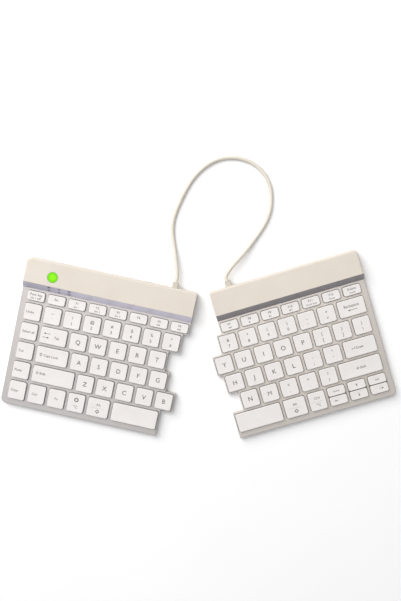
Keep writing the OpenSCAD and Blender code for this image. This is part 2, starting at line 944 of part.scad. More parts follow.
// Profile of a cap across one of its sides, from rim to top
module cap_profile(length) {
  polygon([
    [0, 0], [length, 0], [length - cap_draft, cap_height - cap_chamfer],
    [length - cap_draft - cap_chamfer, cap_height], [cap_draft + cap_chamfer, cap_height],
    [cap_draft, cap_height - cap_chamfer]
  ]);
}

// Hollow key cap over the rectangle q
module key_cap(q) {
  w = q[1] - q[0];
  d = q[3] - q[2];
  inset = cap_skirt + cap_draft;
  translate([q[0], q[2], cap_rim])
    difference() {
      intersection() {
        linear_extrude(cap_height) round_rect([0, w, 0, d], cap_corner);
        translate([0, d, 0]) rotate([90, 0, 0]) linear_extrude(d) cap_profile(w);
        rotate([90, 0, 90]) linear_extrude(w) cap_profile(d);
      }
      translate([0, 0, -through])
        linear_extrude(cap_height - cap_roof + through)
          round_rect([inset, w - inset, inset, d - inset], cap_corner / 2);
    }
}

// Raised bar that tells a finger it is on a homing key
module homing_bar(q) {
  translate([(q[0] + q[1]) / 2, q[2] + homing_setback, cap_top - touch])
    linear_extrude(homing_height + touch)
      slot([homing_length, homing_width]);
}

// Caps first to last of a row
module key_caps(side, r, first, last) {
  color("snow")
    lay(side)
      for (i = [first:last]) {
        key_cap(cap_rect(side, r, i));
        if (r == home_row && i == HOME_KEYS[side]) homing_bar(cap_rect(side, r, i));
      }
}

// One of the low keys stacked in pairs at the end of the front row
module arrow_cap(column, rear) {
  q = cap_rect(RIGHT, last_row, arrow_first + column);
  color("snow") lay(RIGHT) key_cap(rear ? rear_part(q) : front_part(q));
}

// Cable

// Opening in the rear wall for a strain relief
module relief_opening(side) {
  translate([exit_x(side), through, port_height])
    rotate([90, 0, 0])
      linear_extrude(wall + 2 * through)
        square([relief_width - relief_groove, relief_height - relief_groove]
          + 2 * [relief_gap, relief_gap], center = true);
}

// Grommet whose neck sits in the rear wall, with the cable's bore
module strain_relief(side) {
  size = [relief_width, relief_height];
  half = size / 2;
  neck = size - [relief_groove, relief_groove];
  rib = (relief_length - touch) / (2 * relief_ribs - 1);
  color("silver")
    lay(side)
      translate([exit_x(side), 0, port_height])
        rotate([90, 0, 0]) {
          translate([0, 0, -relief_length])
            linear_extrude(relief_length - touch)
              round_rect([-half[0], half[0], -half[1], half[1]], relief_round, -rib_depth);
          for (i = [0:relief_ribs - 1])
            translate([0, 0, -relief_length + 2 * i * rib])
              linear_extrude(rib)
                round_rect([-half[0], half[0], -half[1], half[1]], relief_round);
          translate([0, 0, -2 * touch])
            linear_extrude(wall + 4 * touch)
              square(neck, center = true);
          translate([0, 0, wall + touch])
            linear_extrude(relief_flange)
              round_rect([-half[0], half[0], -half[1], half[1]], relief_round);
        }
}

// Ends of the cable's route, straight out of the strain reliefs
function cable_end(side, out) =
  let (p = on_desk(side, [exit_x(side), relief_length + out])) [p[0], p[1], port_height];
ROUTE = concat(
  [cable_end(LEFT, 0), cable_end(LEFT, straight)],
  CABLE_MIDDLE,
  [cable_end(RIGHT, straight), cable_end(RIGHT, 0)]
);
route_last = len(ROUTE) - 1;

// Smooth curve through the route's points
function route_point(i) =
  i < 0 ? 2 * ROUTE[0] - ROUTE[1]
  : i > route_last ? 2 * ROUTE[route_last] - ROUTE[route_last - 1]
  : ROUTE[i];
function spline(a, b, c, d, t) =
  (2 * b + (c - a) * t + (2 * a - 5 * b + 4 * c - d) * pow(t, 2)
    + (3 * b - a - 3 * c + d) * pow(t, 3)) / 2;
function curve_point(i, t) =
  spline(route_point(i - 1), route_point(i), route_point(i + 1), route_point(i + 2), t);
CURVE = concat(
  [for (i = [0:route_last - 1]) for (k = [0:rings_per_span - 1]) curve_point(i, k / rings_per_span)],
  [ROUTE[route_last]]
);
curve_last = len(CURVE) - 1;
function unit(v) = v / norm(v);
function run(i) =
  i == 0 ? unit(ROUTE[1] - ROUTE[0])
  : i == curve_last ? unit(ROUTE[route_last] - ROUTE[route_last - 1])
  : unit(CURVE[i + 1] - CURVE[i - 1]);
function ring(i) =
  let (across = unit(cross(run(i), [0, 0, 1])), up = cross(across, run(i)))
  [
    for (k = [0:cable_sides - 1])
      let (a = 360 * (k + 0.5) / cable_sides)
      CURVE[i] + cable_d / 2 * (cos(a) * across + sin(a) * up)
  ];

module link_cable() {
  rings = [for (i = [0:curve_last]) ring(i)];
  n = cable_sides;
  sides = [
    for (i = [0:curve_last - 1]) for (k = [0:n - 1])
      let (a = i * n + k, b = i * n + (k + 1) % n)
      each [[a, b, b + n], [a, b + n, a + n]]
  ];
  color("linen")
    polyhedron(
      [for (r = rings) each r],
      concat(
        sides,
        [[for (k = [0:n - 1]) n - 1 - k]],
        [[for (k = [0:n - 1]) curve_last * n + k]]
      )
    );
}

base_shell(LEFT);  // left_base_shell
top_frame(LEFT);  // left_top_frame
rear_cover(LEFT);  // left_rear_cover
light_strip(LEFT);  // left_light_strip
break_light();  // left_break_light
indicator_lights();  // left_indicator_lights
key_plate(LEFT);  // left_key_plate
membrane(LEFT);  // left_membrane
domes(LEFT);  // left_domes
scissor_links(LEFT);  // left_scissor_links
circuit_board(LEFT);  // left_circuit_board
battery();  // left_battery
charge_port();  // left_charge_port
power_switch();  // left_power_switch
feet(LEFT);  // left_feet
screws(LEFT);  // left_screws
key_caps(LEFT, 0, 0, 7);  // left_function_keys
key_caps(LEFT, 1, 1, 7);  // left_number_keys
for (r = [1:last_row]) key_caps(LEFT, r, 0, 0);  // left_edit_keys
key_caps(LEFT, 2, 1, 1);  // left_tab_key
key_caps(LEFT, 2, 2, 6);  // left_qwert_keys
key_caps(LEFT, 3, 1, 1);  // left_caps_lock_key
key_caps(LEFT, 3, 2, 6);  // left_asdfg_keys
key_caps(LEFT, 4, 1, 1);  // left_shift_key
key_caps(LEFT, 4, 2, 6);  // left_zxcvb_keys
key_caps(LEFT, last_row, 1, 3);  // left_modifier_keys
key_caps(LEFT, last_row, 4, 4);  // left_alt_key
key_caps(LEFT, last_row, 5, 5);  // left_space_bar
base_shell(RIGHT);  // right_base_shell
top_frame(RIGHT);  // right_top_frame
rear_cover(RIGHT);  // right_rear_cover
light_strip(RIGHT);  // right_light_strip
key_plate(RIGHT);  // right_key_plate
membrane(RIGHT);  // right_membrane
domes(RIGHT);  // right_domes
scissor_links(RIGHT);  // right_scissor_links
circuit_board(RIGHT);  // right_circuit_board
feet(RIGHT);  // right_feet
screws(RIGHT);  // right_screws
key_caps(RIGHT, 0, 0, 6);  // right_function_keys
key_caps(RIGHT, 1, 0, 5);  // right_number_keys
key_caps(RIGHT, 1, 6, 6);  // right_backspace_key
key_caps(RIGHT, 2, 0, 7);  // right_yuiop_keys
key_caps(RIGHT, 3, 0, 5);  // right_hjkl_keys
key_caps(RIGHT, 3, 6, 6);  // right_enter_key
key_caps(RIGHT, 4, 0, 4);  // right_nm_keys
key_caps(RIGHT, 4, 5, 5);  // right_shift_key
key_caps(RIGHT, last_row, 0, 0);  // right_space_bar
key_caps(RIGHT, last_row, 1, 1);  // right_alt_key
key_caps(RIGHT, last_row, 2, 2);  // right_ctrl_key
arrow_cap(0, true);  // right_home_key
arrow_cap(0, false);  // right_left_key
arrow_cap(1, true);  // right_up_key
arrow_cap(1, false);  // right_down_key
arrow_cap(2, true);  // right_end_key
arrow_cap(2, false);  // right_right_key
strain_relief(LEFT);  // left_strain_relief
strain_relief(RIGHT);  // right_strain_relief
link_cable();
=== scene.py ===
import math

import bmesh
import bpy
from mathutils import Matrix, Vector


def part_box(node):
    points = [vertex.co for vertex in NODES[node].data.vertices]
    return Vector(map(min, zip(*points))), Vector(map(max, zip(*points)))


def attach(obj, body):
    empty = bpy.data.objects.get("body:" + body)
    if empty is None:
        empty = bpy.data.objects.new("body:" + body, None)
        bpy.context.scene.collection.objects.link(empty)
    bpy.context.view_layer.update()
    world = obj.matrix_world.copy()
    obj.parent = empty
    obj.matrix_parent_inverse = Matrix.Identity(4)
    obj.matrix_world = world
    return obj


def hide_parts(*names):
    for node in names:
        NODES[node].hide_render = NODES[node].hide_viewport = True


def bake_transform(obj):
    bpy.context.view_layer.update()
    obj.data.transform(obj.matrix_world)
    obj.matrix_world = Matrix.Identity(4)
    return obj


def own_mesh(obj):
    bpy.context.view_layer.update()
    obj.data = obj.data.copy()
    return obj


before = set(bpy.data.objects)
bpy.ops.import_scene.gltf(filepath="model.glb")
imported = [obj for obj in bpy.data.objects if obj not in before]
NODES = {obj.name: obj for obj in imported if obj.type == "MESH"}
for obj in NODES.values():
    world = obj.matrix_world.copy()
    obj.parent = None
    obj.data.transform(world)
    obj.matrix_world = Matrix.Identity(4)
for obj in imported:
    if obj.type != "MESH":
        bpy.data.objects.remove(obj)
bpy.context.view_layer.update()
MM = 0.001

# How the halves are turned on the desk
YAW = {"left": math.radians(-12.2), "right": math.radians(16.5)}


def half_turn(node, sign=1):
    """Rotation from the own axes of a node's half to the frame's, or back with a sign of -1."""
    return Matrix.Rotation(sign * YAW[node.split("_")[0]], 4, "Z")


# Scene: camera, light and floor, in metres and watts

CAMERA_PLACE = (0.0216, 0.0933, 0.7)
CAMERA_TURN = (math.radians(-4.231), math.radians(1.512), math.radians(0.027))
CAMERA_LENS = 44.505
CAMERA_SENSOR = 36
WARM_WHITE = (1.0, 0.985, 0.965)
COOL_WHITE = (0.7, 0.72, 1.0)
ROOM_COLOUR = (1.0, 0.995, 0.99, 1)
ROOM_STRENGTH = 0.26
FLOOR_SIZE = 6


def make_camera():
    """Camera almost straight above the keyboard, as in the photograph."""
    data = bpy.data.cameras.new("camera")
    data.lens = CAMERA_LENS
    data.sensor_width = CAMERA_SENSOR
    camera = bpy.data.objects.new("camera", data)
    camera.location = CAMERA_PLACE
    camera.rotation_euler = CAMERA_TURN
    bpy.context.scene.collection.objects.link(camera)
    bpy.context.scene.camera = camera


def make_area_light(name, colour, watts, size, place, aim):
    """Soft light of a width and a depth at a place, facing a point."""
    data = bpy.data.lights.new(name, "AREA")
    data.shape = "RECTANGLE"
    data.size, data.size_y = size
    data.energy = watts
    data.color = colour
    light = bpy.data.objects.new(name, data)
    light.location = place
    light.rotation_euler = (Vector(aim) - Vector(place)).to_track_quat("-Z", "Y").to_euler()
    bpy.context.scene.collection.objects.link(light)


def make_lights():
    """Soft light overhead and from the rear left, a cool one from the front left, and even light around."""
    make_area_light(
        "overhead", WARM_WHITE, watts=21.0, size=(1.5, 2.0), place=(-0.2, 0.7, 2.2), aim=(-0.2, 0.7, 0)
    )
    make_area_light(
        "main", WARM_WHITE, watts=51.0, size=(1.8, 1.8), place=(-1.15, 1.35, 1.6), aim=(0, 0.02, 0)
    )
    make_area_light(
        "side", COOL_WHITE, watts=1.2, size=(0.7, 0.7), place=(-0.65, -0.5, 1.6), aim=(-0.15, -0.03, 0)
    )
    world = bpy.data.worlds.new("studio")
    world.use_nodes = True
    background = world.node_tree.nodes["Background"]
    background.inputs["Color"].default_value = ROOM_COLOUR
    background.inputs["Strength"].default_value = ROOM_STRENGTH
    bpy.context.scene.world = world
    bpy.context.scene.view_settings.view_transform = "Standard"


def make_floor():
    """Plain white table top under the feet."""
    bpy.ops.mesh.primitive_plane_add(size=FLOOR_SIZE, location=(0, 0, 0))
    floor = bpy.context.object
    floor.name = "floor"
    floor.data.materials.append(table_white())


# Materials

SOFT_EDGE = 0.25 * MM
SOFT_EDGE_SAMPLES = 4
# Range that most noise values fall into
NOISE_LOW = 0.3
NOISE_HIGH = 0.7
# How far the roughness of plastics and metals goes either way
PLASTIC_SHEEN = 0.06
METAL_SHEEN = 0.08
# Noise features for each metre along and across a strip
STRIP_GRAIN = (60, 4000, 4000)
# Where along x the painted shade on the left strip starts, and where it is darkest
STRIP_SHADE_FADE = (-100 * MM, -160 * MM)
# Radius of the brightest part of the break light
GLOW_CORE = 1 * MM


def new_material(name):
    """Material with a Principled shader; returns it with its tree and shader."""
    material = bpy.data.materials.new(name)
    material.use_nodes = True
    tree = material.node_tree
    return material, tree, tree.nodes["Principled BSDF"]


def srgb(r, g, b):
    """Linear colour of an 8-bit sRGB value."""
    def channel(c):
        c /= 255
        return c / 12.92 if c <= 0.04045 else ((c + 0.055) / 1.055) ** 2.4
    return (channel(r), channel(g), channel(b), 1)


def object_place(tree):
    """Place of the shaded point in the object's own coordinates."""
    return tree.nodes.new("ShaderNodeTexCoord").outputs["Object"]


def noise(tree, grain, detail):
    """Noise with features of about the given size in metres."""
    node = tree.nodes.new("ShaderNodeTexNoise")
    node.inputs["Scale"].default_value = 1 / grain
    node.inputs["Detail"].default_value = detail
    tree.links.new(object_place(tree), node.inputs["Vector"])
    return node.outputs["Fac"]


def spread(tree, value, low, high):
    """Maps a noise value from its usual range to low..high."""
    node = tree.nodes.new("ShaderNodeMapRange")
    node.inputs["From Min"].default_value = NOISE_LOW
    node.inputs["From Max"].default_value = NOISE_HIGH
    node.inputs["To Min"].default_value = low
    node.inputs["To Max"].default_value = high
    tree.links.new(value, node.inputs["Value"])
    return node.outputs["Result"]


def fade(tree, value, start, end):
    """Smooth step from 0 where a value is at its start to 1 where it is at its end."""
    node = tree.nodes.new("ShaderNodeMapRange")
    node.interpolation_type = "SMOOTHSTEP"
    node.inputs["From Min"].default_value = start
    node.inputs["From Max"].default_value = end
    tree.links.new(value, node.inputs["Value"])
    return node.outputs["Result"]


def blend_colours(tree, value, a, b):
    """Colour between a, a colour or a node's output, and the colour b by a value from 0 to 1."""
    node = tree.nodes.new("ShaderNodeMix")
    node.data_type = "RGBA"
    if isinstance(a, bpy.types.NodeSocket):
        tree.links.new(a, node.inputs["A"])
    else:
        node.inputs["A"].default_value = a
    node.inputs["B"].default_value = b
    tree.links.new(value, node.inputs["Factor"])
    return node.outputs["Result"]


def add_bump(tree, shader, value, depth, edge=0.0):
    """Surface relief of a depth in metres, over edges softened to a radius."""
    node = tree.nodes.new("ShaderNodeBump")
    node.inputs["Distance"].default_value = depth
    tree.links.new(value, node.inputs["Height"])
    tree.links.new(node.outputs["Normal"], shader.inputs["Normal"])
    if edge:
        soft = tree.nodes.new("ShaderNodeBevel")
        soft.samples = SOFT_EDGE_SAMPLES
        soft.inputs["Radius"].default_value = edge
        tree.links.new(soft.outputs["Normal"], node.inputs["Normal"])


def moulded(name, light, dark, roughness, grain, depth, mottle=30 * MM, edge=0.0):
    """Moulded plastic: fine spark texture, faint cloudiness and uneven gloss."""
    material, tree, shader = new_material(name)
    cloud = spread(tree, noise(tree, mottle, 3), 0, 1)
    tree.links.new(blend_colours(tree, cloud, light, dark), shader.inputs["Base Color"])
    fine = noise(tree, grain, 5)
    gloss = spread(tree, fine, roughness - PLASTIC_SHEEN, roughness + PLASTIC_SHEEN)
    tree.links.new(gloss, shader.inputs["Roughness"])
    add_bump(tree, shader, fine, depth, edge)
    return material


def cover_plastic():
    """Warm beige of the rear covers."""
    return moulded(
        "cover_plastic", srgb(218, 210, 199), srgb(213, 204, 193),
        roughness=0.36, grain=0.28 * MM, depth=0.02 * MM, edge=SOFT_EDGE,
    )


def base_plastic():
    """Slightly greyer beige of the base trays."""
    return moulded(
        "base_plastic", srgb(208, 201, 193), srgb(202, 194, 186),
        roughness=0.55, grain=0.3 * MM, depth=0.03 * MM, edge=SOFT_EDGE,
    )


def deck_finish(name, light, dark):
    """Satin champagne paint of a key deck."""
    material, tree, shader = new_material(name)
    cloud = spread(tree, noise(tree, 50 * MM, 3), 0, 1)
    tree.links.new(blend_colours(tree, cloud, light, dark), shader.inputs["Base Color"])
    flake = noise(tree, 0.12 * MM, 2)
    tree.links.new(spread(tree, flake, 0.3, 0.4), shader.inputs["Roughness"])
    shader.inputs["Metallic"].default_value = 0.3
    shader.inputs["Coat Weight"].default_value = 0.1
    add_bump(tree, shader, flake, 0.006 * MM, SOFT_EDGE)
    return material


def key_plastic():
    """Near-white key caps with a fine matt texture."""
    return moulded(
        "key_plastic", srgb(230, 227, 225), srgb(226, 222, 220),
        roughness=0.46, grain=0.2 * MM, depth=0.012 * MM, mottle=12 * MM,
    )


def strip_finish(name, light, dark, painted_shade=None):
    """Satin gloss of a sloping strip, brushed roughly along it and, where asked, given painted shade that
    darkens it towards its left end.
    """
    material, tree, shader = new_material(name)
    place = object_place(tree)
    stretch = tree.nodes.new("ShaderNodeMapping")
    stretch.inputs["Scale"].default_value = STRIP_GRAIN
    grain = tree.nodes.new("ShaderNodeTexNoise")
    grain.inputs["Scale"].default_value = 1
    tree.links.new(place, stretch.inputs["Vector"])
    tree.links.new(stretch.outputs["Vector"], grain.inputs["Vector"])
    brushed = grain.outputs["Fac"]
    colour = blend_colours(tree, spread(tree, brushed, 0, 1), light, dark)
    if painted_shade:
        axes = tree.nodes.new("ShaderNodeSeparateXYZ")
        tree.links.new(place, axes.inputs["Vector"])
        # Painted shade: the colour darkens towards the strip's left end
        colour = blend_colours(tree, fade(tree, axes.outputs["X"], *STRIP_SHADE_FADE), colour, painted_shade)
    tree.links.new(colour, shader.inputs["Base Color"])
    tree.links.new(spread(tree, brushed, 0.26, 0.38), shader.inputs["Roughness"])
    shader.inputs["Metallic"].default_value = 0.25
    add_bump(tree, shader, brushed, 0.004 * MM)
    return material


def ink():
    """Grey print of the key legends."""
    material, tree, shader = new_material("legend_ink")
    worn = spread(tree, noise(tree, 0.6 * MM, 4), 0, 1)
    tree.links.new(
        blend_colours(tree, worn, srgb(90, 86, 88), srgb(106, 102, 104)), shader.inputs["Base Color"]
    )
    shader.inputs["Roughness"].default_value = 0.6
    return material


def lens_green():
    """Lit green plastic of the break light, brightest in its middle."""
    material, tree, shader = new_material("lens_green")
    low, high = (Vector(corner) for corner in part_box("left_break_light"))
    reach = tree.nodes.new("ShaderNodeVectorMath")
    reach.operation = "DISTANCE"
    reach.inputs[1].default_value = (low + high) / 2
    tree.links.new(object_place(tree), reach.inputs[0])
    outwards = fade(tree, reach.outputs["Value"], GLOW_CORE, (high.x - low.x) / 2)
    glow = blend_colours(tree, outwards, srgb(134, 224, 8), srgb(96, 192, 6))
    tree.links.new(glow, shader.inputs["Base Color"])
    tree.links.new(glow, shader.inputs["Emission Color"])
    shader.inputs["Emission Strength"].default_value = 0.2
    frost = noise(tree, 0.6 * MM, 3)
    tree.links.new(spread(tree, frost, 0.34, 0.46), shader.inputs["Roughness"])
    shader.inputs["Specular IOR Level"].default_value = 0.15
    add_bump(tree, shader, frost, 0.008 * MM)
    return material


def smoked_window():
    """Dark windows of the unlit indicators."""
    return moulded(
        "smoked_window", srgb(60, 58, 66), srgb(48, 46, 54),
        roughness=0.25, grain=0.4 * MM, depth=0.004 * MM,
    )


def cable_rubber():
    """Smooth off-white cable jacket."""
    return moulded(
        "cable_jacket", srgb(226, 220, 208), srgb(220, 214, 201),
        roughness=0.5, grain=0.6 * MM, depth=0.012 * MM, mottle=20 * MM,
    )


def relief_plastic():
    """Grey-beige of the strain reliefs."""
    return moulded(
        "relief_plastic", srgb(210, 204, 191), srgb(200, 194, 182),
        roughness=0.5, grain=0.3 * MM, depth=0.02 * MM,
    )


def foot_rubber():
    """Dark grey rubber with a matt skin."""
    return moulded(
        "foot_rubber", srgb(86, 85, 86), srgb(72, 71, 72),
        roughness=0.8, grain=0.5 * MM, depth=0.05 * MM,
    )


def knob_plastic():
    """Dark plastic of the power switch."""
    return moulded(
        "knob_plastic", srgb(92, 90, 92), srgb(78, 76, 78),
        roughness=0.55, grain=0.3 * MM, depth=0.02 * MM,
    )


def membrane_film():
    """Cream film of the membrane circuits."""
    return moulded(
        "membrane_film", srgb(224, 218, 202), srgb(214, 207, 190),
        roughness=0.4, grain=0.8 * MM, depth=0.01 * MM,
    )


def solder_mask():
    """Green lacquer of the circuit boards."""
    return moulded(
        "solder_mask", srgb(22, 84, 48), srgb(16, 66, 40),
        roughness=0.3, grain=0.8 * MM, depth=0.01 * MM,
    )


def silicone_rubber():
    """Milky rubber of the domes."""
    return moulded(
        "silicone", srgb(214, 214, 210), srgb(200, 200, 196),
        roughness=0.5, grain=0.4 * MM, depth=0.02 * MM,
    )


def link_plastic():
    """White plastic of the scissor links."""
    return moulded(
        "link_plastic", srgb(232, 231, 228), srgb(222, 221, 218),
        roughness=0.5, grain=0.3 * MM, depth=0.02 * MM,
    )


def table_white():
    """Matt white table top."""
    return moulded(
        "table_white", srgb(252, 253, 254), srgb(250, 251, 252),
        roughness=0.8, grain=4 * MM, depth=0.01 * MM, mottle=200 * MM,
    )


def steel(name, roughness):
    """Bare metal with a fine uneven sheen."""
    material, tree, shader = new_material(name)
    fine = noise(tree, 0.4 * MM, 4)
    tree.links.new(
        blend_colours(tree, spread(tree, fine, 0, 1), srgb(196, 197, 200), srgb(176, 177, 181)),
        shader.inputs["Base Color"],
    )
    sheen = spread(tree, fine, roughness - METAL_SHEEN, roughness + METAL_SHEEN)
    tree.links.new(sheen, shader.inputs["Roughness"])
    shader.inputs["Metallic"].default_value = 1.0
    add_bump(tree, shader, fine, 0.004 * MM)
    return material


# Frame nodes that keep their shape

WELD_REACH = 0.002 * MM
FLAT_ANGLE = math.radians(0.5)
SHARP_ANGLE = math.radians(35)
BEVEL_STEPS = 3


def dress(node, material, bevel=0.0):
    """Gives a node its material and, where asked, softly rounded edges."""
    piece = NODES[node]
    piece.data.materials.clear()
    piece.data.materials.append(material)
    if not bevel:
        return
    weld = piece.modifiers.new("weld", "WELD")
    weld.merge_threshold = WELD_REACH
    flat = piece.modifiers.new("merge_flats", "DECIMATE")
    flat.decimate_type = "DISSOLVE"
    flat.angle_limit = FLAT_ANGLE
    edge = piece.modifiers.new("soft_edges", "BEVEL")
    edge.width = bevel
    edge.segments = BEVEL_STEPS
    edge.limit_method = "ANGLE"
    edge.angle_limit = SHARP_ANGLE
    normals = piece.modifiers.new("normals", "WEIGHTED_NORMAL")
    normals.keep_sharp = True


def dress_nodes():
    """Materials of all nodes that stay as they are."""
    cover = cover_plastic()
    base = base_plastic()
    # Both decks are one paint: the right one is painted lighter than the left as painted light and shade,
    # for how the light falls on each half
    deck = {
        "left": deck_finish("deck_left", srgb(190, 186, 183), srgb(185, 181, 178)),
        "right": deck_finish("deck_right", srgb(204, 198, 192), srgb(199, 193, 187)),
    }
    rubber = foot_rubber()
    metal = steel("bright_steel", roughness=0.3)
    film = membrane_film()
    board = solder_mask()
    relief = relief_plastic()
    for side in YAW:
        dress(f"{side}_rear_cover", cover)
        dress(f"{side}_base_shell", base)
        dress(f"{side}_top_frame", deck[side])
        dress(f"{side}_feet", rubber, bevel=0.3 * MM)
        dress(f"{side}_screws", metal)
        dress(f"{side}_key_plate", metal)
        dress(f"{side}_membrane", film)
        dress(f"{side}_circuit_board", board)
        dress(f"{side}_strain_relief", relief, bevel=0.3 * MM)
    # The two light strips are one grey satin part: the left one's pale lavender is a painted reflection of
    # bright surroundings, the right one's dark grey a painted reflection of dark ones
    strip_with_painted_reflection = strip_finish(
        "strip_left", srgb(233, 231, 246), srgb(223, 220, 237), painted_shade=srgb(199, 196, 213)
    )
    dress("left_light_strip", strip_with_painted_reflection)
    dress("right_light_strip", strip_finish("strip_right", srgb(164, 161, 166), srgb(153, 149, 153)))
    dress("left_indicator_lights", smoked_window())
    dress("left_break_light", lens_green(), bevel=0.2 * MM)
    dress("left_charge_port", metal)
    dress("left_battery", steel("foil_pouch", roughness=0.35))
    dress("left_power_switch", knob_plastic(), bevel=0.1 * MM)


# Key caps

CAP_CORNER = 1.8 * MM
CAP_DRAFT = 0.15 * MM
CAP_FILLET = 0.35 * MM
CAP_DISH = 0.16 * MM
CAP_WALL = 0.9 * MM
CAP_ROOF = 1.1 * MM
# Rings of the dished top, as shares of its width and depth
TOP_SHARES = (0.92, 0.8, 0.6, 0.35, 0.12)
LEAST_CORNER = 0.4 * MM
LEAST_TOP_CORNER = 0.1 * MM
CORNER_STEPS = 5
SIDE_STEPS = 8
FILLET_STEPS = 4
# Keys that carry a homing bar, counted from 0 at the left of their node
HOMING_KEYS = {"left_asdfg_keys": 3, "right_hjkl_keys": 1}
HOMING_SIZE = (3.2 * MM, 0.6 * MM, 0.25 * MM)
HOMING_SETBACK = 3.2 * MM
HOMING_ROOT = 0.2 * MM
HOMING_BEVEL = 0.1 * MM
# Corner radius of a homing bar as a share of half its depth
HOMING_ROUND = 0.85
MERGE_REACH = 0.001 * MM


def islands(mesh):
    """Groups of joined vertices of a bmesh, one for each separate solid."""
    seen = set()
    groups = []
    for first in mesh.verts:
        if first in seen:
            continue
        seen.add(first)
        group = [first]
        for vertex in group:
            for edge in vertex.link_edges:
                other = edge.other_vert(vertex)
                if other not in seen:
                    seen.add(other)
                    group.append(other)
        groups.append(group)
    return groups


def node_mesh(node):
    """Editable copy of a node's mesh, with its faces joined."""
    mesh = bmesh.new()
    mesh.from_mesh(NODES[node].data)
    bmesh.ops.remove_doubles(mesh, verts=mesh.verts, dist=MERGE_REACH)
    return mesh


def box_of(points):
    """Lowest and highest corner of some points."""
    return (
        Vector(min(p[k] for p in points) for k in range(3)),
        Vector(max(p[k] for p in points) for k in range(3)),
    )


def solids(node):
    """Boxes of a node's separate solids in its half's own axes, as (low, high), rear and left first.

    Their tops are set to the lowest, which leaves out the bars on the homing keys.
    """
    turn = half_turn(node, -1)
    mesh = node_mesh(node)
    boxes = [box_of([turn @ vertex.co for vertex in group]) for group in islands(mesh)]
    mesh.free()
    flat = min(high.z for low, high in boxes)
    for low, high in boxes:
        high.z = flat
    boxes.sort(key=lambda b: (round(-b[1].y, 3), b[0].x))
    return boxes


def rounded_loop(half_x, half_y, radius):
    """Points round a rounded rectangle about the origin, also along its straight sides."""
    arcs = []
    for quarter, (sx, sy) in enumerate(((1, 1), (-1, 1), (-1, -1), (1, -1))):
        arc = []
        for step in range(CORNER_STEPS + 1):
            angle = math.radians(90) * (quarter + step / CORNER_STEPS)
            x = sx * (half_x - radius) + radius * math.cos(angle)
            y = sy * (half_y - radius) + radius * math.sin(angle)
            arc.append((x, y))
        arcs.append(arc)
    points = []
    for arc, following in zip(arcs, arcs[1:] + arcs[:1]):
        points += arc
        (ax, ay), (bx, by) = arc[-1], following[0]
        for step in range(1, SIDE_STEPS):
            share = step / SIDE_STEPS
            points.append((ax + (bx - ax) * share, ay + (by - ay) * share))
    return points


def dish(x, y, half_x, half_y):
    """Depth of a cap's shallow hollow at a point of its top."""
    u = min(abs(x) / half_x, 1)
    v = min(abs(y) / half_y, 1)
    return CAP_DISH * (1 - u * u) * (1 - v * v)


def bridge(mesh, a, b):
    """Quads between two rings of equal length."""
    n = len(a)
    for i in range(n):
        mesh.faces.new((a[i], a[(i + 1) % n], b[(i + 1) % n], b[i]))


def add_skin(mesh, rings):
    """Closed skin over rings of vertices, with a face over the first and the last one."""
    for a, b in zip(rings, rings[1:]):
        bridge(mesh, a, b)
    mesh.faces.new(reversed(rings[0]))
    mesh.faces.new(rings[-1])


def cap_sections(half_x, half_y, z_rim, z_top):
    """Rings of a cap from inside the roof, down the skirt, up the side and over the dished top."""
    top_x = half_x - CAP_DRAFT - CAP_FILLET
    top_y = half_y - CAP_DRAFT - CAP_FILLET
    inset = CAP_WALL + CAP_DRAFT
    sections = [
        (inset, z_top - CAP_ROOF), (inset, z_rim), (0, z_rim), (CAP_DRAFT, z_top - CAP_FILLET)
    ]
    for step in range(1, FILLET_STEPS + 1):
        angle = math.radians(90) * step / FILLET_STEPS
        sections.append((
            CAP_DRAFT + CAP_FILLET * (1 - math.cos(angle)),
            z_top - CAP_FILLET * (1 - math.sin(angle)),
        ))
    rings = []
    for inwards, z in sections:
        radius = max(CAP_CORNER - inwards, LEAST_CORNER)
        loop = rounded_loop(half_x - inwards, half_y - inwards, radius)
        rings.append([(x, y, z) for x, y in loop])
    for share in TOP_SHARES:
        radius = max((CAP_CORNER - CAP_DRAFT - CAP_FILLET) * share, LEAST_TOP_CORNER)
        loop = rounded_loop(top_x * share, top_y * share, min(radius, top_y * share))
        rings.append([(x, y, z_top - dish(x, y, top_x, top_y)) for x, y in loop])
    return rings


def add_cap(mesh, box, turn):
    """One cap that fills a box."""
    low, high = box
    middle = (low + high) / 2
    place = turn @ Matrix.Translation((middle.x, middle.y, 0))
    sections = cap_sections((high.x - low.x) / 2, (high.y - low.y) / 2, low.z, high.z)
    add_skin(mesh, [[mesh.verts.new(place @ Vector(p)) for p in ring] for ring in sections])


def add_homing_bar(mesh, box, turn):
    """Raised bar near the front of a homing key."""
    low, high = box
    length, depth, height = HOMING_SIZE
    place = turn @ Matrix.Translation(((low.x + high.x) / 2, low.y + HOMING_SETBACK, high.z))
    rings = []
    for inwards, z in ((0, -HOMING_ROOT), (0, height - HOMING_BEVEL), (HOMING_BEVEL, height)):
        half_x, half_y = length / 2 - inwards, depth / 2 - inwards
        loop = rounded_loop(half_x, half_y, half_y * HOMING_ROUND)
        rings.append([mesh.verts.new(place @ Vector((x, y, z))) for x, y in loop])
    add_skin(mesh, rings)


def finish_mesh(mesh, name, material, body, smooth=True):
    """Turns a bmesh into a piece that rides on a body, where one is given."""
    data = bpy.data.meshes.new(name)
    mesh.to_mesh(data)
    mesh.free()
    if smooth:
        data.shade_smooth()
    data.materials.append(material)
    piece = bpy.data.objects.new(name, data)
    bpy.context.scene.collection.objects.link(piece)
    if body:
        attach(piece, body)
    return piece


def make_caps(node, material):
    """Modelled caps in place of a node's plain ones."""
    turn = half_turn(node)
    mesh = bmesh.new()
    for place, box in enumerate(solids(node)):
        add_cap(mesh, box, turn)
        if HOMING_KEYS.get(node) == place:
            add_homing_bar(mesh, box, turn)
    bmesh.ops.recalc_face_normals(mesh, faces=mesh.faces)
    piece = finish_mesh(mesh, f"{node}_caps", material, node)
    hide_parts(node)


# Legends: all their measures and places are in mm

